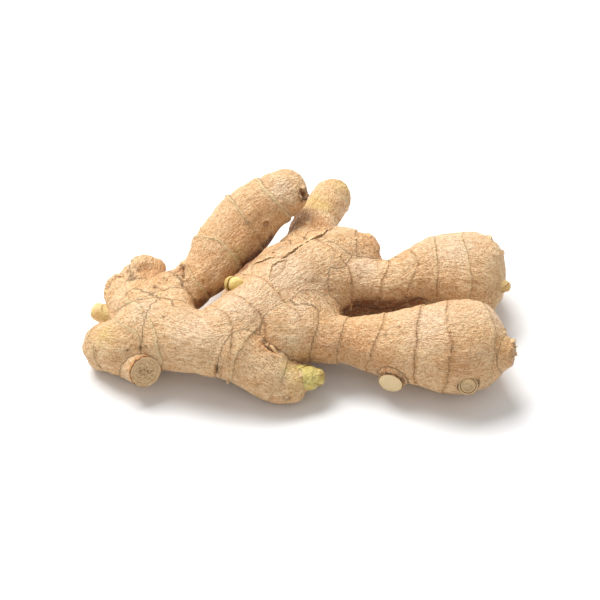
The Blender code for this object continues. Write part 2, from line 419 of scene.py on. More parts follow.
def distance_to_line(points, line):
    """Distance from every point to a chain of straight pieces, and the same with its side as the sign."""
    nearest = np.full(len(points), 1e9)
    sided = nearest.copy()
    for a, b in zip(np.array(line, float), np.array(line[1:], float)):
        t = np.clip((points - a) @ (b - a) / ((b - a) @ (b - a)), 0, 1)
        off = points - a - t[:, None] * (b - a)
        gap = np.linalg.norm(off, axis=1)
        aside = (off * unit(np.cross(b - a, normal))).sum(1)
        sided = np.where(gap < nearest, aside, sided)
        nearest = np.minimum(nearest, gap)
    return nearest, sided


crack_gap = np.full(len(place), 5.0)
crack_side = crack_gap.copy()
crack_dark = np.ones(len(place))
for depth, width, line in CRACKS:
    gap, sided = distance_to_line(place, line)
    gap, sided = np.abs(gap + 0.3 * wander), sided + 0.8 * wander
    crack_side = np.where(gap < crack_gap, sided, crack_side)
    crack_dark = np.where(gap < crack_gap, min(1.0, depth / 0.6), crack_dark)
    lift += depth * (0.35 * np.exp(-((gap - 2.2 * width) / width) ** 2) - np.exp(-(gap / width) ** 2))
    crack_gap = np.minimum(crack_gap, gap)
RIMS = (   # (x, y, z), axis, radius, whether a cut face lies in it: torn edges of the skin
    ((-47.9, -34.7, 11.5), (4.2, -9, 3.9), 5.1, True), ((29.3, -37.4, 9.1), (-2, -6.8, -0.2), 4.0, True),
    ((53.3, -41.8, 12.6), (0.3, -6, 3.3), 3.3, True), ((67.4, -32.3, 17.3), (4.8, -2, 0.7), 3.3, True),
    ((2.1, 24.9, 32.6), (0.75, -0.5, 0.42), 2.1, False),
)
sliced = np.zeros(len(place))
for centre, axis, size, faced in RIMS:
    away, axis = place - centre, unit(np.array(axis, float))
    rise = away @ axis
    across = np.linalg.norm(away - rise[:, None] * axis, axis=1)
    gap = np.hypot(across - size, rise)
    crack_side = np.where(gap < crack_gap, across - size + 0.3 * wander, crack_side)
    crack_dark = np.where(gap < crack_gap, 0.85, crack_dark)
    crack_gap = np.minimum(crack_gap, gap)
    lift += 0.25 * np.exp(-((gap - 0.5) / 0.5) ** 2)
    if faced:
        sliced = np.maximum(sliced, fall(across, 0.85 * size, size) * fall(np.abs(rise), 0.9, 1.8))
print(len(CRACKS), "cracks,", int((crack_gap < 0.5).sum()), "points in them")

# %% [markdown]
# ## Pits, bud eyes and dents
#
# Fine roots left small round scars when they dried off, and buds that never woke sit in the skin as a
# dimple with a ring round it.

# %% Pits and eyes, as (x, y, z, radius, depth); a negative depth is a wart
PITS = (
    (-55.5, 3, 18.5, 0.9, 1.0), (-56.5, 3, 17.5, 0.8, 0.9), (-52.5, -1.5, 20.5, 0.9, 0.7),
    (-48.5, -1.5, 20, 0.8, 0.5), (-37, -6.5, 21.5, 0.8, 0.5), (-55, -9, 21, 0.9, 0.35),
    (-53.5, -30.5, 16.5, 0.5, 0.6), (-49.5, -30.5, 17.5, 0.6, 0.6), (-47.5, -30.5, 18.5, 0.45, 0.5),
    (-57.4, 6.9, 15.1, 0.9, 1.1), (-53.5, 0.1, 19.5, 1.0, 0.9), (-51.3, 1.5, 20.3, 0.7, 0.6),
    (-44.4, -0.2, 20.2, 0.9, 0.7), (-45.5, -8.7, 23.1, 0.6, 0.5), (-42.9, -9.4, 22.9, 0.5, 0.4),
    (-38.6, 0.1, 21.7, 1.1, 1.2), (-38.4, -2.5, 21.5, 0.8, 0.9), (-41.5, -1.5, 20.8, 0.7, 0.5),
    (2.1, 24.9, 32.6, 1.3, 1.0), (1.6, 24.9, 34.0, 0.7, 0.7), (2.2, 24.0, 31.0, 0.7, 0.7),
    (27.5, -29, 22.5, 0.5, 0.5), (32, -28, 24.5, 0.4, 0.3), (-44, -11.5, 23, 0.9, -0.5),
    (-36.5, 1.5, 22.5, 1.5, -1.3), (-57, -22, 20, 0.4, 0.3), (14, -9, 25, 0.5, 0.3),
    (60, 3, 26, 0.6, 0.3), (40, -8, 15, 0.6, 0.4), (-20, 30, 25, 0.6, 0.4), (-30, 15, 20, 0.6, 0.3),
    (5, 45, 18, 0.5, 0.3), (-42, -24, 25, 0.5, 0.3), (-15, -22, 28, 0.5, 0.25), (20, 16, 14, 0.8, 0.5),
)
EYES = ((-10.4, 15.4, 28.3, 1.3), (-3.5, -41.5, 7, 1.7), (48, 20, 18, 1.5), (-58, -6, 16, 1.3))

pit_mark = np.zeros(len(place))
for x, y, z, size, depth in PITS:
    bell = np.exp(-(np.linalg.norm(place - (x, y, z), axis=1) / size) ** 2)
    lift -= depth * bell
    pit_mark = np.maximum(pit_mark, bell if depth > 0 else 0)
for x, y, z, size in EYES:
    out = np.linalg.norm(place - (x, y, z), axis=1) / size
    lift += 0.55 * np.exp(-((out - 1) / 0.35) ** 2) + 0.35 * np.exp(-((out / 0.35) ** 2))
    pit_mark = np.maximum(pit_mark, 0.8 * np.exp(-((out - 0.55) / 0.2) ** 2))
print(len(PITS), "pits and", len(EYES), "eyes")

# %% [markdown]
# ## Lumps and wrinkles
#
# Under the rings the surface still isn't smooth: it has slow swellings from the starch inside, and fine
# wrinkles that run along each finger because the skin has started to shrink round a softening core.

# %% Add the small relief and write the skin
GNARLED = {   # how lumpy each lobe is
    "palm_web": 1.2, "palm_back": 1.7, "palm_corner": 2.2, "palm_right": 1.8, "knob": 2.2,
    "shoulder": 1.3, "trunk_back": 1.1, "palm": 0.9, "back_finger": 0.8,
}
SMOOTH_LOBE = 0.6   # the same for every other lobe
gnarl = relaxed(np.array([GNARLED.get(name, SMOOTH_LOBE) for name in names])[own], 30)
swelling = 0.45 * grain(9.0) + gnarl * (0.55 * grain(4.2) + 0.25 * grain(2.1))
wrinkle = 0.10 * grain(1.0, fibre * (0.75, 0.75, 0.14)) + 0.05 * grain(1.7)
calm = fall(hollow, 0.15, 0.6)
lift += swelling + wrinkle * (0.5 + 0.5 * calm)
near_ring = np.exp(-(ring_gap / 1.3) ** 2)
lift += 0.05 * near_ring * grain(0.9)
lift = lift * (1 - sliced) - 0.85 * sliced
place_now = place + normal * lift[:, None] + shift
place_now[:, 2] = np.maximum(place_now[:, 2], 0)
EDGE = 0.4   # mm by which the relief may pass the solid's box
for k in range(2):
    place_now[:, k] = np.clip(place_now[:, k], low[k] - EDGE, high[k] + EDGE)
skin.data.vertices.foreach_set("co", (place_now * MM).astype(np.float32).ravel())
skin.data.update()
print("relief from", lift.min().round(2), "to", lift.max().round(2), "mm; top at", place_now[:, 2].max())

# %% [markdown]
# ## Sheltered skin, painted in shade
#
# Between two fingers that almost touch, the skin is painted dark red-brown as shade. Feeling outward from
# each point in a few directions tells how sheltered it is, and that sets how much painted shade it gets.

# %% Feel for neighbouring fingers
corners = [tuple(face.vertices) for face in skin.data.polygons]
surface = BVHTree.FromPolygons([Vector(p) for p in place_now - shift], corners)
normal = read(skin.data.vertex_normals, "vector")
aside = unit(np.cross(normal, (0.37, 0.61, 0.7)))
other = np.cross(normal, aside)
SLANTS = ((1.0, 0, 0), (0.6, 0.8, 0), (0.6, -0.8, 0), (0.6, 0, 0.8), (0.6, 0, -0.8),
          (0.35, 0.66, 0.66), (0.35, -0.66, 0.66), (0.35, 0.66, -0.66), (0.35, -0.66, -0.66))
SHELTER_REACH = 14.0   # mm
start = place_now - shift + 0.3 * normal
# painted shade: the more enclosed a point is, the darker brown the skin material paints it
shelter_shade = np.zeros(len(place))
for out, a, b in SLANTS:
    way = out * normal + a * aside + b * other
    for i in range(len(place)):
        hit = surface.ray_cast(start[i], way[i], SHELTER_REACH)[3]
        if hit is not None:
            shelter_shade[i] += (1 - 0.5 * hit / SHELTER_REACH) / len(SLANTS)
shelter_shade = relaxed(shelter_shade, 4)
print("shelter from", shelter_shade.min().round(2), "to", shelter_shade.max().round(2))

# %% [markdown]
# ## Patches of colour
#
# The colour of a root isn't even. Young skin near a growing tip is yellow-green and old skin is red-brown.
# Pale patches on the tops of the lobes and the finger tips are painted highlight, and dark red-brown patches
# under and between the fingers are painted shade, with a real stain at one tip scar. Each patch is a soft
# spot round a point on the skin.

# %% The patches, as (x, y, z, radius)
PATCHES = {
    "young": (
        (-61, -24, 17, 4), (5, 36, 20, 4), (9, 33, 20, 3), (15, 45, 18, 3.5), (1, -36.5, 11, 4.5),
        (-3, -36, 14, 3), (-20, 6, 22, 3), (64, -31, 20, 3), (-24, 7, 12, 4),
    ),
    # painted highlight on the tops of the lobes and the finger tips
    "painted_highlight": (
        (-5.7, 24.5, 36.2, 4.2), (-4.2, -37.9, 14, 2.8), (-18, -20, 28, 8), (-3, -9, 30, 9),
        (-48, -20, 24, 4), (42, -28, 27, 8), (50, 6, 28, 9), (60, -24, 24, 6), (22, 2, 22, 6),
        (-33, -28, 25, 6), (0, -22, 23, 4),
    ),
    "old": (
        (8, -29.5, 17, 6), (15, -29, 17, 6), (21, -30, 18, 6), (-10, -31, 20, 4), (-20, 12, 28, 6),
        (-30, 4, 22, 5), (-12, 20, 32, 4), (28, -34, 14, 5), (64, -33, 21, 4), (-46, 1, 20, 5),
        (-36, 1, 21, 3), (6, 22, 22, 5), (24, 12, 22, 5), (50, -38, 20, 6),
    ),
    # painted shade under and between the fingers; the last two spots are the real red-brown stain of the
    # upper finger's tip scar
    "shade_and_stain": (
        (16.5, -8, 12, 3), (20, -6.5, 12.5, 3.6), (24.5, -6, 11.5, 3.8), (29.5, -5.5, 11.5, 3.8),
        (34.5, -5, 11, 3.6), (39.5, -4.3, 11, 3), (14, -15, 11, 4), (22, -15, 11, 5), (30, -14, 10, 5),
        (-16.5, 7.3, 17.5, 2.8), (-19.4, 4.2, 16.5, 3), (-13.6, 11.3, 17.7, 3.2), (-9, 15.6, 20.7, 2.6),
        (-31.2, -6.4, 13.5, 3), (-28.9, -4.3, 14.5, 3), (-24, 0, 13, 3.5), (-33.5, -9.5, 15.5, 2.5),
        (-17.5, -0.9, 22.8, 3), (-15, 2.5, 21.5, 3.2), (-12, 6, 20, 3.4), (-8, 10, 20, 3.6),
        (-20.5, -5, 21, 3), (-8.5, -31, 17, 2.5), (2.1, 24.9, 32.6, 2.0), (1.8, 24.4, 30.5, 1.2),
    ),
    "grey": ((7, -9, 25.5, 6), (3, -15, 26, 4), (12, -5, 25, 5), (-14, 2, 24, 5), (-4, 5, 28, 5)),
}
patch = {}
for name, spots in PATCHES.items():
    soft = np.zeros(len(place))
    for x, y, z, size in spots:
        out = np.linalg.norm(place - (x, y, z), axis=1) + 1.5 * wander
        soft = 1 - (1 - soft) * (1 - np.exp(-(out / size) ** 2))
    patch[name] = soft


def store(mesh, name, values):
    """Saves one value or vector per vertex for the materials to read."""
    values = np.asarray(values, np.float32)
    kind, key = ("FLOAT", "value") if values.ndim == 1 else ("FLOAT_VECTOR", "vector")
    mesh.attributes.new(name, kind, "POINT").data.foreach_set(key, values.ravel())


fields = {
    "fibre": fibre, "ring_gap": ring_gap, "ring_dark": relaxed(ring_dark, 2), "ring_side": ring_side,
    "crack_gap": crack_gap, "crack_side": crack_side, "crack_dark": relaxed(crack_dark, 2),
    "pit": pit_mark, "hollow": hollow, "shelter_shade": shelter_shade,
}
for name, values in {**fields, **patch}.items():
    store(skin.data, name, values)
for face in skin.data.polygons:
    face.use_smooth = True
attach(skin, "root")
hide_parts("ginger_root")
print("patches", {name: round(float(values.mean()), 3) for name, values in patch.items()})

# %% [markdown]
# ## Effects for the materials
#
# The materials share a few effects, each a small node group: mottling, streaks of fibre, fine stipple and
# the broken line of a ring or crack. They take a place on the piece in millimetres and give back masks
# from 0 to 1, so a material only has to say which colours they mix.

# %% Short ways to wire nodes
def add(tree, kind, inputs=None, **settings):
    """A new node with its settings made and its inputs linked or set."""
    made = tree.nodes.new(kind)
    for name, value in settings.items():
        setattr(made, name, value)
    for key, value in (inputs or {}).items():
        if isinstance(value, bpy.types.NodeSocket):
            tree.links.new(value, made.inputs[key])
        else:
            made.inputs[key].default_value = value
    return made


def calc(tree, operation, a, b=0.0, c=0.0, clamp=False):
    """A math node's result."""
    return add(tree, "ShaderNodeMath", {0: a, 1: b, 2: c}, operation=operation, use_clamp=clamp).outputs[0]


def remap(tree, value, start, end, low_to=0.0, high_to=1.0):
    """Value from start to end, turned smoothly into low_to to high_to."""
    return add(tree, "ShaderNodeMapRange", {"Value": value, "From Min": start, "From Max": end,
               "To Min": low_to, "To Max": high_to}, interpolation_type="SMOOTHSTEP").outputs["Result"]


def tint(tree, share, under, over):
    """Colour under with colour over laid on it by that share."""
    return add(tree, "ShaderNodeMix", {0: share, 6: under, 7: over}, data_type="RGBA").outputs[2]


def noisy(tree, vector, scale, detail=3.0, roughness=0.55):
    """Noise from 0 to 1; scale is in features per mm."""
    return add(tree, "ShaderNodeTexNoise", {"Vector": vector, "Scale": scale, "Detail": detail,
               "Roughness": roughness}).outputs["Fac"]


def stretched(tree, vector, factors):
    """The vector times three factors."""
    return add(tree, "ShaderNodeVectorMath", {0: vector, 1: factors}, operation="MULTIPLY").outputs[0]


def linear(r, g, b):
    """A colour given as it looks on a screen, 0 to 255, as light."""
    light = [c / 255 / 12.92 if c <= 10 else ((c / 255 + 0.055) / 1.055) ** 2.4 for c in (r, g, b)]
    return (*light, 1.0)


def effect(name, inputs, outputs):
    """An empty node group with named sockets, and its two ends."""
    tree = bpy.data.node_groups.new(name, "ShaderNodeTree")
    for label, kind, value in inputs:
        socket = tree.interface.new_socket(label, in_out="INPUT", socket_type=kind)
        if value is not None:
            socket.default_value = value
    for label in outputs:
        tree.interface.new_socket(label, in_out="OUTPUT", socket_type="NodeSocketFloat")
    return tree, tree.nodes.new("NodeGroupInput").outputs, tree.nodes.new("NodeGroupOutput").inputs


def use(tree, which, inputs):
    """Places an effect in a material and returns its outputs."""
    return add(tree, "ShaderNodeGroup", inputs, node_tree=which).outputs


FLOAT, VECTOR = "NodeSocketFloat", "NodeSocketVector"
print("helpers ready")

# %% The effects
mottle, given, result = effect("Mottle", [("Place", VECTOR, None), ("Size", FLOAT, 6.0)], ["Broad", "Fine"])
per_mm = calc(mottle, "DIVIDE", 1.0, given["Size"])
broad = noisy(mottle, given["Place"], per_mm, 2.0)
fine = noisy(mottle, given["Place"], calc(mottle, "MULTIPLY", per_mm, 4.5), 4.0, 0.65)
mottle.links.new(remap(mottle, broad, 0.32, 0.68), result["Broad"])
mottle.links.new(remap(mottle, fine, 0.3, 0.7), result["Fine"])

streaks, given, result = effect(
    "Fibre Streaks", [("Fibre", VECTOR, None), ("Width", FLOAT, 0.35), ("Length", FLOAT, 4.0)], ["Streak"])
across = calc(streaks, "DIVIDE", 1.0, given["Width"])
ahead = calc(streaks, "DIVIDE", 1.0, given["Length"])
ratio = add(streaks, "ShaderNodeCombineXYZ", {"X": across, "Y": across, "Z": ahead}).outputs[0]
threads = noisy(streaks, stretched(streaks, given["Fibre"], ratio), 1.0, 3.0, 0.6)
streaks.links.new(remap(streaks, threads, 0.36, 0.66), result["Streak"])

cork, given, result = effect(
    "Cork Grain", [("Place", VECTOR, None), ("Fibre", VECTOR, None), ("Size", FLOAT, 0.6)], ["Grain"])
per_mm = calc(cork, "DIVIDE", 1.0, given["Size"])
even = noisy(cork, given["Place"], per_mm, 2.0, 0.6)
drawn = noisy(cork, stretched(cork, given["Fibre"], (1.0, 1.0, 0.35)), per_mm, 2.0, 0.6)
both = calc(cork, "ADD", even, drawn)
cork.links.new(remap(cork, both, 0.72, 1.28), result["Grain"])

stipple, given, result = effect(
    "Stipple", [("Place", VECTOR, None), ("Size", FLOAT, 0.8), ("Share", FLOAT, 0.5)], ["Dots"])
cell_scale = calc(stipple, "DIVIDE", 1.0, given["Size"])
cells = add(stipple, "ShaderNodeTexVoronoi", {"Vector": given["Place"], "Scale": cell_scale})
drawn_lot = add(stipple, "ShaderNodeSeparateColor", {0: cells.outputs["Color"]}).outputs[0]
chosen = calc(stipple, "LESS_THAN", drawn_lot, given["Share"])
dot = remap(stipple, cells.outputs["Distance"], 0.12, 0.42, 1.0, 0.0)
stipple.links.new(calc(stipple, "MULTIPLY", dot, chosen), result["Dots"])

broken_line, given, result = effect(
    "Broken Line",
    [("Place", VECTOR, None), ("Side", FLOAT, 5.0), ("Gap", FLOAT, 5.0), ("Width", FLOAT, 0.3)],
    ["Line", "Whole", "Beside", "Lip"])
ragged = calc(broken_line, "MULTIPLY_ADD", noisy(broken_line, given["Place"], 1.7, 5.0, 0.75), 1.6, -0.8)
side = calc(broken_line, "ADD", given["Side"], ragged)
near = calc(broken_line, "SUBTRACT", given["Gap"], 0.5)
away = calc(broken_line, "MAXIMUM", calc(broken_line, "ABSOLUTE", side), near)
gap = calc(broken_line, "DIVIDE", away, given["Width"])
core = remap(broken_line, gap, 0.4, 1.1, 1.0, 0.0)
dashes = remap(broken_line, noisy(broken_line, given["Place"], 0.5, 4.0, 0.65), 0.46, 0.6)
broken_line.links.new(calc(broken_line, "MULTIPLY", core, dashes), result["Line"])
broken_line.links.new(core, result["Whole"])
broken_line.links.new(remap(broken_line, gap, 1.0, 6.0, 1.0, 0.0), result["Beside"])
rising = remap(broken_line, side, -1.6, -0.1)
rising = calc(broken_line, "MULTIPLY", rising, remap(broken_line, side, -0.1, 0.25, 1.0, 0.0))
lip = calc(broken_line, "MULTIPLY", rising, remap(broken_line, near, 0.8, 1.4, 1.0, 0.0))
broken_line.links.new(lip, result["Lip"])
print([tree.name for tree in bpy.data.node_groups])

# %% [markdown]
# ## The skin
#
# Real ginger skin is a layer of cork a tenth of a millimetre thick, tan and dull, over flesh that lets a
# little light through. Its colour comes in layers, laid on in turn: cork, mottling, fibres, then the patches
# with their painted highlight and painted shade, a darker brown in hollows, painted shade between the
# fingers, the rings and last the cracks.

# %% The skin material
def value_of(tree, name, output="Fac"):
    """A value stored on the mesh."""
    return add(tree, "ShaderNodeAttribute", attribute_name=name).outputs[output]


def millimetres(tree):
    """The place on the object, in millimetres."""
    place = add(tree, "ShaderNodeTexCoord").outputs["Object"]
    return add(tree, "ShaderNodeVectorMath", {0: place, "Scale": 1000.0}, operation="SCALE").outputs[0]


def new_material(name, roughness=0.6, gloss=0.3, glow=0.0):
    """A material with its principled shader ready to be wired."""
    material = bpy.data.materials.new(name)
    material.use_nodes = True
    shader = material.node_tree.nodes["Principled BSDF"]
    shader.inputs["Roughness"].default_value = roughness
    shader.inputs["Specular IOR Level"].default_value = gloss
    if glow:
        shader.inputs["Subsurface Weight"].default_value = glow
        shader.inputs["Subsurface Radius"].default_value = (1.0, 0.45, 0.2)
        shader.inputs["Subsurface Scale"].default_value = 0.0025
    return material, material.node_tree, shader


def scaled(tree, value, factor):
    """Value times factor."""
    return calc(tree, "MULTIPLY", value, factor)


skin_material, tree, shader = new_material("ginger_skin", 0.58, 0.3)
here, thread = millimetres(tree), value_of(tree, "fibre", "Vector")
spots = use(tree, mottle, {"Place": here, "Size": 7.0})
small = use(tree, mottle, {"Place": here, "Size": 2.0})
grain_fine = use(tree, cork, {"Place": here, "Fibre": thread, "Size": 0.42})["Grain"]
grain_coarse = use(tree, cork, {"Place": here, "Fibre": thread, "Size": 1.2})["Grain"]
thin = use(tree, streaks, {"Fibre": thread, "Width": 0.5, "Length": 2.5})["Streak"]
wide = use(tree, streaks, {"Fibre": thread, "Width": 1.3, "Length": 9.0})["Streak"]
dots = use(tree, stipple, {"Place": here, "Size": 0.6, "Share": 0.35})["Dots"]
ring = use(tree, broken_line, {"Place": here, "Side": value_of(tree, "ring_side"),
                               "Gap": value_of(tree, "ring_gap"), "Width": 0.2})
crack = use(tree, broken_line, {"Place": here, "Side": value_of(tree, "crack_side"),
                                "Gap": value_of(tree, "crack_gap"), "Width": 0.26})
darkness = value_of(tree, "ring_dark")
# darker brown in hollows and paler tan on crests, by how far relaxing moves each point
sunk = remap(tree, value_of(tree, "hollow"), 0.0, 1.1)
raised = remap(tree, value_of(tree, "hollow"), -0.25, -0.75)
# painted shade between the fingers, by how sheltered the skin is
painted_gap_shade = remap(tree, value_of(tree, "shelter_shade"), 0.45, 1.0)

colour = tint(tree, spots["Broad"], linear(255, 224, 178), linear(250, 208, 154))
colour = tint(tree, scaled(tree, small["Broad"], 0.35), colour, linear(238, 188, 130))
colour = tint(tree, scaled(tree, wide, 0.30), colour, linear(238, 194, 140))
colour = tint(tree, scaled(tree, raised, 0.25), colour, linear(253, 228, 192))
# painted highlight: pale cream laid on the tops of the lobes and the finger tips
colour = tint(tree, scaled(tree, value_of(tree, "painted_highlight"), 0.6), colour, linear(255, 234, 204))
old = calc(tree, "MULTIPLY", value_of(tree, "old"), remap(tree, small["Fine"], 0.0, 1.0, 0.25, 0.8))
colour = tint(tree, old, colour, linear(212, 142, 80))
grey = calc(tree, "MULTIPLY", value_of(tree, "grey"), scaled(tree, thin, 0.7))
colour = tint(tree, grey, colour, linear(165, 130, 100))
young = calc(tree, "MULTIPLY", value_of(tree, "young"), remap(tree, spots["Fine"], 0.0, 1.0, 0.55, 1.0))
colour = tint(tree, young, colour, linear(232, 206, 128))
colour = tint(tree, scaled(tree, sunk, 0.4), colour, linear(172, 116, 66))
# painted shade: skin sheltered between fingers is darkened to red-brown
colour = tint(tree, scaled(tree, painted_gap_shade, 0.75), colour, linear(138, 76, 34))
# painted shade under and between the fingers, with the real stain at the upper finger's tip scar
shade_and_stain = remap(tree, value_of(tree, "shade_and_stain"), 0.2, 0.85)
shade_and_stain_share = calc(tree, "MULTIPLY", shade_and_stain, remap(tree, small["Fine"], 0.0, 1.0, 0.98, 0.75))
colour = tint(tree, shade_and_stain_share, colour, linear(104, 44, 14))
colour = tint(tree, scaled(tree, thin, 0.3), colour, linear(212, 146, 84))
colour = tint(tree, remap(tree, grain_coarse, 0.5, 1.0, 0.0, 0.25), colour, linear(196, 128, 68))
colour = tint(tree, remap(tree, grain_fine, 0.45, 1.0, 0.0, 0.55), colour, linear(160, 98, 50))
colour = tint(tree, remap(tree, grain_fine, 0.5, 0.0, 0.0, 0.22), colour, linear(255, 240, 212))
colour = tint(tree, scaled(tree, dots, 0.4), colour, linear(140, 78, 38))
light_share = calc(tree, "POWER", calc(tree, "SUBTRACT", 1.0, darkness, clamp=True), 2.0)
pale_band = calc(tree, "MULTIPLY", ring["Lip"], light_share)
colour = tint(tree, scaled(tree, pale_band, 0.7), colour, linear(255, 230, 176))
under_lip = calc(tree, "MULTIPLY", ring["Whole"], light_share)
colour = tint(tree, scaled(tree, under_lip, 0.4), colour, linear(186, 118, 60))
dark_line = calc(tree, "MULTIPLY", ring["Line"], darkness, clamp=True)
dark_share = calc(tree, "MULTIPLY", scaled(tree, ring["Beside"], 0.3), darkness)
colour = tint(tree, dark_share, colour, linear(186, 124, 68))
whole_share = scaled(tree, calc(tree, "MULTIPLY", ring["Whole"], darkness), 0.32)
colour = tint(tree, whole_share, colour, linear(158, 96, 48))
colour = tint(tree, scaled(tree, dark_line, 0.7), colour, linear(104, 54, 24))
split = value_of(tree, "crack_dark")
crack_line = calc(tree, "MAXIMUM", crack["Line"], scaled(tree, crack["Whole"], 0.5))
crack_line = calc(tree, "MULTIPLY", crack_line, split)
beside = calc(tree, "MULTIPLY", scaled(tree, crack["Beside"], 0.35), split)
colour = tint(tree, beside, colour, linear(176, 112, 58))
curled = calc(tree, "MULTIPLY", scaled(tree, crack["Lip"], 0.4), split)
colour = tint(tree, curled, colour, linear(255, 228, 186))
colour = tint(tree, scaled(tree, crack_line, 0.9), colour, linear(80, 38, 16))
colour = tint(tree, scaled(tree, value_of(tree, "pit"), 0.8), colour, linear(106, 50, 22))
tree.links.new(colour, shader.inputs["Base Color"])

height = calc(tree, "MULTIPLY_ADD", thin, -0.5, scaled(tree, small["Fine"], 0.3))
height = calc(tree, "SUBTRACT", height, scaled(tree, dots, 0.4))
height = calc(tree, "SUBTRACT", height, scaled(tree, grain_fine, 1.0))
height = calc(tree, "SUBTRACT", height, scaled(tree, grain_coarse, 1.3))
height = calc(tree, "SUBTRACT", height, scaled(tree, ring["Whole"], 0.5))
height = calc(tree, "SUBTRACT", height, scaled(tree, crack_line, 1.8))
lip_height = calc(tree, "MULTIPLY", ring["Lip"], calc(tree, "MULTIPLY_ADD", light_share, 1.4, 0.4))
height = calc(tree, "ADD", height, lip_height)
bump = add(tree, "ShaderNodeBump", {"Height": height, "Distance": 0.00024, "Strength": 1.0})
tree.links.new(bump.outputs[0], shader.inputs["Normal"])
rough = calc(tree, "MULTIPLY_ADD", grain_coarse, 0.18, 0.48)
tree.links.new(rough, shader.inputs["Roughness"])
skin.data.materials.clear()
skin.data.materials.append(skin_material)
print(skin_material.name, len(tree.nodes), "nodes")

# %% [markdown]
# ## Cut faces
#
# Where a stem or a side finger was sliced or snapped off, the wound dried to a disc: a rim of torn cork,
# rings like those of an onion inside it and a pithy centre. Each disc is a closed piece that sits on the
# end of its stub.

# %% Build the discs
def turned_disc(bm, centre, axis, size, relief, squeeze=1.0, sides=96, steps=22):
    """Adds a closed disc whose face rises by relief(out, turn) mm; returns its own coordinates."""
    axis = Vector(axis).normalized()
    right = axis.cross(Vector((0.1, 0.2, 1))).normalized()
    up = axis.cross(right)
    size = float(size)
    profile = [(size * k / steps, None) for k in range(1, steps + 1)]
    profile += [(size * 1.02, -0.5), (size * 0.96, -1.4)]
    rows, own_place = [], []

    def corner(out, angle, rise):
        side = out * math.cos(angle) * right + out * math.sin(angle) * squeeze * up
        own_place.append((out * math.cos(angle), out * math.sin(angle), out / size))
        return bm.verts.new(Vector(centre) + side + float(rise) * axis)

    middle_top = corner(0.0, 0.0, relief(0.0, 0.0))
    for out, rise in profile:
        rows.append([])
        for k in range(sides):
            angle = 2 * math.pi * k / sides
            wobble = out * (1 + 0.05 * noise.noise(Vector((3 * math.cos(angle), 3 * math.sin(angle), size))))
            rows[-1].append(corner(wobble, angle, relief(out / size, angle) if rise is None else rise))
    middle_under = corner(0.0, 0.0, -1.4)
    for k in range(sides):
        n = (k + 1) % sides
        bm.faces.new((middle_top, rows[0][k], rows[0][n]))
        for inner, outer in zip(rows, rows[1:]):
            bm.faces.new((inner[k], outer[k], outer[n], inner[n]))
        bm.faces.new((rows[-1][n], rows[-1][k], middle_under))
    return own_place


def crumb(out, angle, size, seed):
    """Noise over a disc's face, with features about size mm across."""
    return noise.noise(Vector((out * math.cos(angle), out * math.sin(angle), seed)) / size)


def stem_relief(out, angle):
    """Torn rim, rings and a crumbled centre."""
    r = out * 5.1
    rim = 0.55 * math.exp(-((out - 0.93) / 0.07) ** 2) * (1 + 0.9 * crumb(5 * out, angle, 1.3, 1.0))
    rings = 0.09 * math.sin(r * 5.2 + 5.0 * crumb(r, angle, 2.0, 4.0))
    fibres = 0.12 * noise.noise(Vector((angle * 7, r * 0.5, 2.0)))
    crumbled = 0.45 * math.exp(-((r / 2.6) ** 2)) * crumb(r, angle, 0.7, 7.0)
    pith = -0.5 * math.exp(-((r / 1.7) ** 2)) + crumbled
    return rim + rings + fibres + pith + 0.12 * crumb(r, angle, 0.5, 9.0)


def clean_relief(out, angle):
    """A clean slice with a thin lip."""
    return (0.22 * math.exp(-((out - 0.94) / 0.07) ** 2) - 0.15 * (1 - out**2)
            + 0.06 * crumb(4 * out, angle, 0.9, 3.0))


def ring_relief(out, angle):
    """Two raised rings, one in the other."""
    return (0.4 * math.exp(-((out - 0.92) / 0.07) ** 2) + 0.45 * math.exp(-((out - 0.62) / 0.07) ** 2)
            - 0.25 * math.exp(-((out / 0.5) ** 4)) + 0.08 * crumb(3 * out, angle, 0.8, 5.0))


def frayed_relief(out, angle):
    """A snapped end with a ragged edge."""
    return (0.5 * math.exp(-((out - 0.9) / 0.12) ** 2) * (1 + 1.5 * crumb(4 * out, angle, 1.0, 6.0))
            + 0.18 * crumb(4 * out, angle, 0.6, 8.0) - 0.2 * (1 - out**2))


def stub_end(name):
    """Centre and axis of the flat end of a cut stub."""
    first, last = (np.array(station, float) for station in CUT_STUBS[name][-2:])
    axis = (last - first)[:3] / np.linalg.norm((last - first)[:3])
    return last[:3] + axis * CUT_REACH * last[3], axis, last[3]


DISCS = (
    ("stem_scar", *stub_end("stem_stub"), 1.0, stem_relief, 1.0, 1.0),
    ("side_scar", *stub_end("side_stub"), 0.96, clean_relief, 1.0, 0.0),
    ("ring_scar", *stub_end("ring_stub"), 0.94, ring_relief, 1.0, 0.45),
    ("tip_scar", *stub_end("tip_stub"), 0.85, frayed_relief, 0.8, 0.6),
)
SURFACE_OFFSET = -0.15   # mm from the stub's end to the disc


def finish_piece(bm, name, material, fields=None):
    """Moves a piece from design axes to the solid's place and lets it ride."""
    bmesh.ops.translate(bm, vec=Vector(shift), verts=bm.verts)
    bmesh.ops.scale(bm, vec=(MM, MM, MM), verts=bm.verts)
    made = object_from(bm, name)
    for field, values in (fields or {}).items():
        store(made.data, field, values)
    for face in made.data.polygons:
        face.use_smooth = True
    made.data.materials.append(material)
    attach(made, "root")
    return made


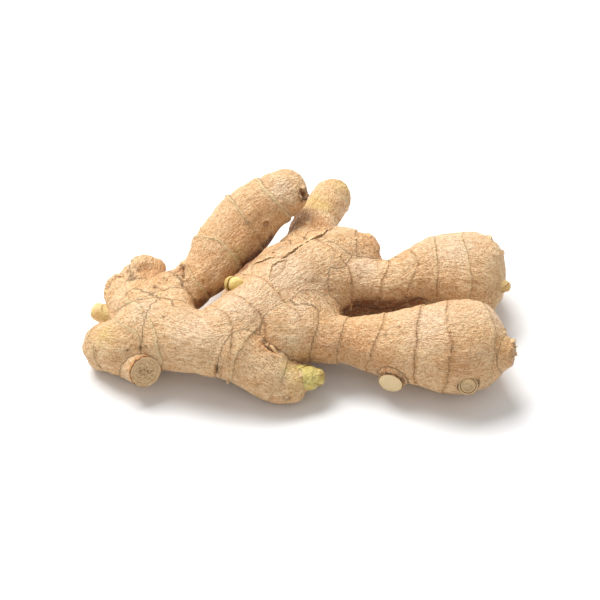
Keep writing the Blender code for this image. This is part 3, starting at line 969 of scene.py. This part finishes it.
cut_material, tree, shader = new_material("cut_face", 0.75, 0.2)
face_place = value_of(tree, "face", "Vector")
wear = value_of(tree, "wear")
out = add(tree, "ShaderNodeSeparateXYZ", {0: face_place}).outputs["Z"]
across = add(tree, "ShaderNodeVectorMath", {0: face_place, 1: (1, 1, 0)}, operation="MULTIPLY").outputs[0]
bits = use(tree, mottle, {"Place": across, "Size": 1.6})
warped = calc(tree, "MULTIPLY_ADD", bits["Broad"], 5.0, scaled(tree, out, 22.0))
onion = remap(tree, calc(tree, "SINE", warped), -0.2, 0.9)
specks = use(tree, stipple, {"Place": across, "Size": 0.55, "Share": 0.5})["Dots"]
colour = tint(tree, bits["Fine"], linear(250, 226, 180), linear(236, 204, 156))
worn = calc(tree, "MULTIPLY", wear, remap(tree, bits["Fine"], 0.0, 1.0, 0.35, 0.75), clamp=True)
colour = tint(tree, worn, colour, linear(226, 186, 140))
colour = tint(tree, calc(tree, "MULTIPLY", scaled(tree, onion, 0.2), wear, clamp=True), colour,
              linear(128, 84, 48))
crumbs = remap(tree, noisy(tree, across, 0.9, 4.0, 0.7), 0.46, 0.62)
inner = remap(tree, out, 0.95, 0.3)
crumbled = calc(tree, "MULTIPLY", crumbs, inner)
crumbled = calc(tree, "MULTIPLY", crumbled, scaled(tree, wear, 0.6), clamp=True)
colour = tint(tree, crumbled, colour, linear(124, 80, 46))
dark_specks = calc(tree, "MULTIPLY", specks, remap(tree, out, 0.8, 0.2))
dark_specks = calc(tree, "MULTIPLY", dark_specks, wear, clamp=True)
colour = tint(tree, scaled(tree, dark_specks, 0.8), colour, linear(74, 42, 22))
groove = calc(tree, "MULTIPLY", remap(tree, out, 0.7, 0.78), remap(tree, out, 0.78, 0.84, 1.0, 0.0))
groove = calc(tree, "MULTIPLY", groove, remap(tree, wear, 0.95, 0.5, 0.1, 2.0))
colour = tint(tree, calc(tree, "MULTIPLY", groove, wear, clamp=True), colour,
              linear(112, 60, 28))
edge_line = remap(tree, calc(tree, "MULTIPLY_ADD", bits["Broad"], 0.04, out), 0.955, 1.0)
colour = tint(tree, scaled(tree, edge_line, 0.9), colour, linear(116, 66, 32))
flank = remap(tree, out, 1.0, 1.012)
colour = tint(tree, scaled(tree, flank, 0.9), colour, linear(206, 152, 98))
tree.links.new(colour, shader.inputs["Base Color"])
bump = add(tree, "ShaderNodeBump", {"Height": calc(tree, "ADD", bits["Fine"], scaled(tree, onion, 0.6)),
           "Distance": 0.00015, "Strength": 0.8})
tree.links.new(bump.outputs[0], shader.inputs["Normal"])

for name, centre, axis, size, share, relief, squeeze, wear_amount in DISCS:
    disc = bmesh.new()
    centre = np.array(centre) + SURFACE_OFFSET * np.array(axis)
    own_place = turned_disc(disc, centre, axis, size * share, relief, squeeze)
    made = finish_piece(disc, name, cut_material,
                        {"face": np.array(own_place), "wear": np.full(len(own_place), wear_amount)})
    print(name, len(made.data.vertices), "vertices")

# %% [markdown]
# ## Buds
#
# A living bud is wrapped in overlapping leaf scales, yellow to green, with brown papery edges where the
# outer ones have died back. Each bud here is a plump core with curved scales laid round it.

# %% Build the buds
BUDS = {   # chains of (x, y, z, radius)
    "tip_bud": ((-1.5, -35, 9, 3.9), (4.4, -35.2, 9.3, 3.3), (6.4, -35.4, 9.6, 2.4)),
    "crotch_bud": ((-21.2, -7, 23, 2.3), (-19.5, -10.4, 25.9, 2.45)),
    "left_bud": ((-60.5, -8, 9, 3.3), (-64.4, -7.2, 10.2, 2.9)),
    "rear_tip_bud": ((65, -1.5, 17, 2.6), (67.6, -2.2, 17, 1.6)),
    "corner_nub": ((-60, -2, 12.5, 1.5), (-62.3, -1.5, 13.5, 0.8)),
    "palm_nub": ((-44, -11.5, 21.5, 1.2), (-43.9, -11.9, 22.9, 0.8)),
}
SCALES = {   # (first and last share of the length, turn in degrees, half spread, lift) of each scale
    "tip_bud": ((0.05, 0.78, 200, 95, 0.35), (0.1, 0.97, 20, 80, 0.25), (0.2, 0.9, 110, 60, 0.5),
                (0.0, 0.55, -60, 70, 0.6)),
    "crotch_bud": ((0.0, 0.55, 60, 90, 0.3), (0.0, 0.7, 250, 80, 0.2)),
    "left_bud": ((0.0, 0.6, 0, 100, 0.2), (0.0, 0.5, 180, 80, 0.2)),
    "rear_tip_bud": ((0.0, 0.8, 0, 100, 0.2), (0.0, 0.7, 180, 90, 0.25)),
}


def thin_sheet(bm, grid, thickness):
    """Adds a closed sheet over a grid of points; returns how far each vertex is from its root, 0 to 1."""
    out = unit(np.cross(np.gradient(grid, axis=0), np.gradient(grid, axis=1))) * thickness / 2
    rows, columns = grid.shape[:2]
    top, under = ([[bm.verts.new(point) for point in row] for row in grid + sign * out] for sign in (1, -1))
    for i in range(rows - 1):
        for j in range(columns - 1):
            bm.faces.new((top[i][j], top[i + 1][j], top[i + 1][j + 1], top[i][j + 1]))
            bm.faces.new((under[i][j], under[i][j + 1], under[i + 1][j + 1], under[i + 1][j]))
    rim = [(i, 0) for i in range(rows)] + [(rows - 1, j) for j in range(1, columns)]
    rim += [(i, columns - 1) for i in range(rows - 2, -1, -1)] + [(0, j) for j in range(columns - 2, 0, -1)]
    for (a, b), (c, d) in zip(rim, rim[1:] + rim[:1]):
        bm.faces.new((top[a][b], under[a][b], under[c][d], top[c][d]))
    return np.tile(np.repeat(np.linspace(0, 1, rows), columns), 2)


def bud_scale(bm, stations, first, last, turn, spread, raised_by, seed):
    """Adds one leaf scale that hugs a bud."""
    rings = with_blunt_ends(stations_between(stations, 0.3), ROUND_REACH)[CAP_RINGS:]
    reach = np.r_[0, np.cumsum(np.linalg.norm(np.diff(rings[:, :3], axis=0), axis=1))]
    axis = unit(rings[-1, :3] - rings[0, :3])
    up = unit(np.array([0, 0, 1.0]) - axis * axis[2])
    side = np.cross(axis, up)
    rows, columns = 16, 22
    grid = np.empty((rows, columns, 3))
    for i, u in enumerate(np.linspace(0, 1, rows)):
        width = spread * (1 - 0.75 * u**2.5)
        for j, v in enumerate(np.linspace(-1, 1, columns)):
            fray = 0.05 * noise.noise(Vector((v * 4, seed, 0))) * u - 0.18 * u * v * v
            at = reach[-1] * min(0.985, first + (last - first) * (u + fray))
            x, y, z, r = (np.interp(at, reach, rings[:, k]) for k in range(4))
            angle = math.radians(turn + width * v)
            curl = raised_by * (0.25 + 0.75 * u**2) + 0.12 * noise.noise(Vector((3 * u, 4 * v, seed)))
            spoke = math.cos(angle) * up + math.sin(angle) * side
            grid[i, j] = np.array((x, y, z)) + spoke * (r + curl) + axis * raised_by * 0.3 * u
    return thin_sheet(bm, grid, 0.16)


bud_material, tree, shader = new_material("bud", 0.42, 0.4, 0.15)
here = millimetres(tree)
tip = value_of(tree, "tip")
blush = use(tree, mottle, {"Place": here, "Size": 3.0})
veins = noisy(tree, stretched(tree, here, (0.9, 3.2, 3.2)), 1.0, 3.0)
colour = tint(tree, blush["Broad"], linear(240, 216, 146), linear(224, 192, 112))
colour = tint(tree, scaled(tree, value_of(tree, "green"), 0.8), colour, linear(208, 198, 92))
colour = tint(tree, scaled(tree, value_of(tree, "brown"), 0.8), colour, linear(228, 190, 140))
colour = tint(tree, remap(tree, veins, 0.45, 0.7, 0.0, 0.3), colour, linear(196, 160, 84))
colour = tint(tree, scaled(tree, remap(tree, tip, 0.72, 1.0), 0.6), colour, linear(150, 96, 48))
colour = tint(tree, remap(tree, blush["Fine"], 0.6, 0.9, 0.0, 0.4), colour, linear(170, 118, 62))
vein_gap = calc(tree, "ABSOLUTE", calc(tree, "SUBTRACT", noisy(tree, here, 0.42, 3.0, 0.6), 0.5))
split = calc(tree, "MULTIPLY", remap(tree, vein_gap, 0.012, 0.035, 0.85, 0.0), value_of(tree, "green"))
colour = tint(tree, split, colour, linear(112, 66, 26))
tree.links.new(colour, shader.inputs["Base Color"])
bump = add(tree, "ShaderNodeBump", {"Height": calc(tree, "ADD", veins, blush["Fine"]), "Distance": 0.00015,
           "Strength": 0.7})
tree.links.new(bump.outputs[0], shader.inputs["Normal"])

GREEN = {"tip_bud": 0.45, "palm_nub": 0.3}
BROWN = {"rear_tip_bud": 0.8, "corner_nub": 0.7, "left_bud": 0.6, "palm_nub": 0.4}
for number, (name, stations) in enumerate(BUDS.items()):
    bud = bmesh.new()
    loft(bud, stations, ROUND_REACH, 0.35, 0.35, 40)
    bmesh.ops.subdivide_edges(bud, edges=bud.edges[:], cuts=1, use_grid_fill=True)
    tip_share = [0.35] * len(bud.verts)
    for k, parts in enumerate(SCALES.get(name, ())):
        tip_share += list(bud_scale(bud, stations, *parts, 10 * number + k))
    made = finish_piece(bud, name, bud_material,
                        {"tip": np.array(tip_share), "green": np.full(len(tip_share), GREEN.get(name, 0.0)),
                         "brown": np.full(len(tip_share), BROWN.get(name, 0.0))})
    print(name, len(made.data.vertices), "vertices")

# %% [markdown]
# ## Papery scales, torn bark and roots
#
# What is left of the scale leaves clings to the rings as brown, ragged paper. Bark has torn up along the
# cracks. Thin roots have been trimmed to stubs, and a few root hairs stand at the broken tips.

# %% Place them on the skin
chance = np.random.default_rng(7)
skin_place = place_now - shift
lobe_ahead = {name: unit(np.gradient(line[:, :3], axis=0)) for name, line in lines.items()}


def laid(point, height=0.0):
    """The nearest point of the skin, raised by height mm along its normal."""
    found, out, _, _ = surface.find_nearest(Vector(point))
    return np.array(found) + height * np.array(out)


def flake(bm, root, ahead, out, length, width, lifted, seed):
    """Adds a ragged scrap that clings by its root and lifts towards its free edge."""
    side = unit(np.cross(out, ahead))
    rows, columns = 6, 9
    grid = np.empty((rows, columns, 3))
    for i, u in enumerate(np.linspace(0, 1, rows)):
        for j, v in enumerate(np.linspace(-1, 1, columns)):
            fray = 1 + 0.7 * noise.noise(Vector((v * 3, seed, 1)))
            fray += 0.3 * noise.noise(Vector((v * 9, seed, 2)))
            reach = length * u * fray * (1 - 0.35 * v * v)
            spot = root + ahead * reach + side * v * width * (0.5 - 0.12 * u)
            rise = -0.12 + (lifted + 0.12) * u**1.6 + 0.15 * u * noise.noise(Vector((v * 2, u * 2, seed)))
            grid[i, j] = laid(spot, rise)
    return thin_sheet(bm, grid, 0.09)


scraps, edge_share = bmesh.new(), []
FLAKY = (6, 3, 2, 3, 2, 2, 3, 4, 4, 8, 10, 10, 5, 6, 4, 3, 2, 2, 8, 3, 4, 6, 6, 4, 2, 3)
for (lobe, *_), points, wanted in zip(RINGS, lip_points, FLAKY):
    for i in chance.choice(points, min(wanted, len(points)), replace=False):
        line = lines[lobe]
        near = int(np.argmin(np.linalg.norm(line[:, :3] - skin_place[i], axis=1)))
        ahead = lobe_ahead[lobe][near]
        out_way = normal[i]
        ahead = unit(ahead - out_way * (ahead @ out_way) + 0.15 * chance.normal(size=3))
        edge_share += list(flake(scraps, skin_place[i], ahead, out_way, chance.uniform(0.5, 1.3),
                                 chance.uniform(0.9, 2.6), chance.uniform(0.1, 0.45), float(i)))
SCRAPS = (   # (x, y, z), heading in degrees, length, width, lift
    ((-43, -5, 22.5), 60, 1.5, 1.8, 0.7), ((-42.3, -4.2, 22.5), 160, 1.3, 1.2, 0.6),
    ((-37, 1, 22), 100, 1.6, 2.0, 0.8), ((-33, 9.5, 24), 150, 1.4, 1.6, 0.6),
    ((-31, 13, 25), 150, 1.4, 2.2, 0.6), ((-29.5, 16, 25), 170, 1.2, 1.6, 0.5),
    ((-33.5, 6, 23), 170, 1.2, 1.5, 0.5), ((-56, 1, 19), 120, 1.6, 2.0, 0.8),
    ((-53, 5, 20), 90, 1.4, 1.6, 0.6), ((-57, 3, 17), 200, 1.5, 1.8, 0.7),
    ((52, -31.5, 29), 200, 0.9, 1.4, 0.3), ((54.5, -32, 28), 340, 1.0, 1.2, 0.35),
    ((56.5, -33.5, 27), 250, 0.8, 1.2, 0.3), ((64, -28, 23), 20, 1.4, 2.2, 0.7),
    ((66, -31, 21), 0, 1.6, 2.0, 0.8), ((65.5, -34, 19.5), -30, 1.5, 2.2, 0.8),
    ((-10, -31, 20.5), -60, 1.2, 1.8, 0.5), ((8, 26, 22), 60, 1.6, 2.4, 0.7),
    ((12, 31, 19), 40, 1.8, 2.4, 0.9), ((22, 14, 23), 30, 1.4, 2.4, 0.6),
    ((25, 10, 22.5), 0, 1.2, 1.8, 0.5), ((0.5, -37, 13), 10, 1.5, 2.4, 0.6),
    ((1, -34, 14.5), -10, 1.6, 2.2, 0.7), ((0.5, -32, 13.5), 0, 1.3, 2.0, 0.6),
    ((0, -39, 10), 0, 1.2, 1.8, 0.5), ((1, 26.5, 35), 330, 1.3, 1.8, 0.6),
    ((2, 23.5, 34), 300, 1.1, 1.4, 0.5), ((2.5, 23, 31), 350, 0.8, 1.2, 0.35),
    ((3, 26, 31), 20, 0.9, 1.2, 0.4), ((-23.5, -3.5, 19), 300, 1.2, 1.4, 0.6),
    ((-22, -8, 23.5), 60, 1.0, 1.6, 0.5), ((-20, -11, 25.5), 80, 0.9, 1.4, 0.4),
    ((67, -30, 15), 0, 1.2, 1.6, 0.7), ((66, -29, 19), 10, 1.2, 1.6, 0.7),
    ((-7, 2, 28.5), 200, 1.2, 1.8, 0.5), ((-11, -1, 27.5), 20, 1.3, 2.0, 0.6),
    ((3, 20, 24.5), 60, 1.4, 2.2, 0.6), ((8, 19, 23.5), 50, 1.5, 2.0, 0.7),
    ((11, 19, 22), 40, 1.5, 2.2, 0.8), ((62, 12, 25), 60, 1.2, 2.4, 0.5),
    ((65.5, 8, 22), 20, 1.2, 2.0, 0.5),
)
for number, (spot, heading, length, width, lifted) in enumerate(SCRAPS):
    root = laid(spot)
    out_way = np.array(surface.find_nearest(Vector(spot))[1])
    ahead = np.array([math.cos(math.radians(heading)), math.sin(math.radians(heading)), 0.0])
    ahead = unit(ahead - out_way * (ahead @ out_way))
    edge_share += list(flake(scraps, root, ahead, out_way, length, width, lifted, 100.0 + number))
print(len(scraps.verts), "vertices of scraps")

# %% [markdown]
# Along the longer cracks on the crest and one on the palm, an edge of the bark stands up as a strip.

# %% Strips of bark
def bark_strip(bm, line, offset, width, lifted, seed):
    """Adds a strip beside a crack, offset and width mm to its side and lifted mm high at the crack."""
    line = np.array(line, float)
    reach = np.r_[0, np.cumsum(np.linalg.norm(np.diff(line, axis=0), axis=1))]
    count = max(8, int(reach[-1] / 0.35))
    rows, columns = 6, count
    grid = np.empty((rows, columns, 3))
    for j, at in enumerate(np.linspace(0.3, reach[-1] - 0.3, columns)):
        spot = np.array([np.interp(at, reach, line[:, k]) for k in range(3)])
        ahead = np.array([np.interp(at + 0.5, reach, line[:, k]) for k in range(3)]) - spot
        out_way = np.array(surface.find_nearest(Vector(spot))[1])
        side = unit(np.cross(out_way, unit(ahead + 1e-6)))
        taper = math.sin(math.pi * min(1, max(0, at / reach[-1]))) ** 0.5
        for i, u in enumerate(np.linspace(0, 1, rows)):
            ragged = 0.45 * noise.noise(Vector((at * 0.9, seed, 0)))
            ragged += 0.25 * noise.noise(Vector((at * 2.6, seed, 5)))
            away = offset + math.copysign(width * (1 - u) + ragged * u, offset)
            rise = -0.25 + (lifted * taper + 0.25) * u**1.5 * (1 + 0.8 * noise.noise(Vector((at, seed, 9))))
            grid[i, j] = laid(spot + side * away, rise)
    return thin_sheet(bm, grid, 0.12)


STRIPS = (   # line, offset, width, lift, seed
    (CRACKS[0][2], -0.45, 3.2, 0.5, 1.0), (CRACKS[0][2][1:4], 0.5, 1.8, 0.35, 2.0),
    (CRACKS[2][2], -0.4, 2.2, 0.35, 4.0), (CRACKS[3][2], 0.4, 1.0, 0.35, 5.0),
    (((-40, -2, 21.5), (-37.5, -3.5, 22), (-35.5, -5, 21.5)), 0.4, 1.1, 0.4, 6.0),
)
for strip in STRIPS:
    edge_share += list(bark_strip(scraps, *strip))

dry_material, tree, shader = new_material("dry_scale", 0.8, 0.15)
here = millimetres(tree)
bits = use(tree, mottle, {"Place": here, "Size": 1.8})
colour = tint(tree, bits["Broad"], linear(244, 214, 170), linear(222, 180, 130))
colour = tint(tree, scaled(tree, bits["Fine"], 0.45), colour, linear(168, 116, 68))
colour = tint(tree, scaled(tree, remap(tree, value_of(tree, "edge_share"), 0.6, 1.0), 0.5), colour,
              linear(236, 204, 160))
tree.links.new(colour, shader.inputs["Base Color"])
bump = add(tree, "ShaderNodeBump", {"Height": bits["Fine"], "Distance": 0.0001, "Strength": 0.7})
tree.links.new(bump.outputs[0], shader.inputs["Normal"])
made = finish_piece(scraps, "papery_scales", dry_material, {"edge_share": np.array(edge_share)})
print(made.name, len(made.data.polygons), "faces")

# %% Root stubs and hairs
hairs = bmesh.new()
ROOTS = (   # (x, y, z) and where it points, length, radius
    ((-61, -12, 6), (-1, -0.3, 0.1), 3.0, 0.8), ((30, 12, 4), (0.3, 1, -0.2), 3.5, 0.8),
    ((-12, 6, 8), (0.2, 1, 0), 3.5, 0.7), ((-22, -37, 10), (-0.3, -1, -0.1), 1.6, 0.6),
)
STRAP = ((-9.5, -29.5, 18, 0.75), (-8, -31.3, 19, 0.65), (-6.3, -33, 17.2, 0.5))
loft(hairs, STRAP, ROUND_REACH, 0.4, 0.3, 14)
for spot, way, length, size in ROOTS:
    root, way = laid(spot, -0.5), unit(np.array(way, float))
    droop = np.array([0.15, 0, -0.15]) * length
    chain = [(*(root + way * length * t + droop * t * t), size * (1 - 0.45 * t)) for t in (0, 0.5, 1)]
    loft(hairs, chain, ROUND_REACH, 0.4, 0.3, 14)
HAIR_ROOTS = ((66.5, -31, 20, 1.6), (67.5, -34, 18, 1.8), (66, -33, 20.5, 1.5), (67.5, -32, 16, 1.5),
              (65, -27, 22.5, 1.2), (3.5, 25, 34, 1.0), (4.5, 24.5, 30.5, 1.2), (-66, -20, 12, 0.8),
              (-44, 8, 20, 0.7), (6.5, -37, 7.5, 0.8), (62, -20, 24, 0.9), (12.5, -14.5, 17, 1.4),
              (13.5, -13.5, 18, 1.2), (11.5, -15.5, 18, 1.0))
for x, y, z, length in HAIR_ROOTS:
    root = laid((x, y, z), -0.2)
    way = unit(np.array(surface.find_nearest(Vector((x, y, z)))[1]) + 0.5 * chance.normal(size=3))
    bend = 0.4 * chance.normal(size=3)
    chain = [(*(root + way * length * t + bend * length * t * t), 0.11 * (1.2 - t)) for t in (0, 0.5, 1)]
    loft(hairs, chain, ROUND_REACH, 0.3, 0.0, 8)
made = finish_piece(hairs, "root_stubs_and_hairs", dry_material)
store(made.data, "edge_share", np.full(len(made.data.vertices), 0.75))
print(made.name, len(made.data.polygons), "faces")

# %% [markdown]
# ## Table, light and camera
#
# The root lies on a plain white table in soft daylight. One large panel above and behind it gives the
# broad soft highlight on the crests and sends the shadow forward and to the right; the white room fills
# in the rest. The camera looks down from the front at half a right angle.

# %% Stage
table = bmesh.new()
bmesh.ops.create_grid(table, x_segments=1, y_segments=1, size=3.0)
table = object_from(table, "table_top")
table_material, tree, shader = new_material("white_table", 0.85, 0.1)
shader.inputs["Base Color"].default_value = (0.92, 0.92, 0.92, 1)
table.data.materials.append(table_material)


def panel(name, position, size, power):
    """A soft light panel aimed at the root, in metres and watts."""
    light = bpy.data.lights.new(name, "AREA")
    light.shape = "RECTANGLE"
    light.size, light.size_y = size
    light.energy = power
    made = bpy.data.objects.new(name, light)
    made.location = position
    made.rotation_euler = (Vector((0, 0, 0)) - Vector(position)).to_track_quat("-Z", "Y").to_euler()
    bpy.context.scene.collection.objects.link(made)
    return made


panel("main_panel", (-0.35, 0.55, 1.1), (0.9, 0.7), 22.0)
world = bpy.data.worlds.new("white_room")
world.use_nodes = True
world.node_tree.nodes["Background"].inputs[0].default_value = (1, 1, 1, 1)
world.node_tree.nodes["Background"].inputs[1].default_value = 0.56
bpy.context.scene.world = world
bpy.context.scene.view_settings.view_transform = "Standard"

aim = Vector(shift + (0.8, -3.2, 11.8)) * MM
distance = 0.7
slope = math.radians(45)
camera = bpy.data.objects.new("camera", bpy.data.cameras.new("camera"))
camera.data.lens = 129.2
camera.data.sensor_width = 36
camera.data.dof.use_dof = False
camera.location = aim + distance * Vector((0, -math.cos(slope), math.sin(slope)))
camera.rotation_euler = (math.pi / 2 - slope, 0, 0)
bpy.context.scene.collection.objects.link(camera)
bpy.context.scene.camera = camera
print("camera at", [round(v, 3) for v in camera.location], "looking at", [round(v, 4) for v in aim])
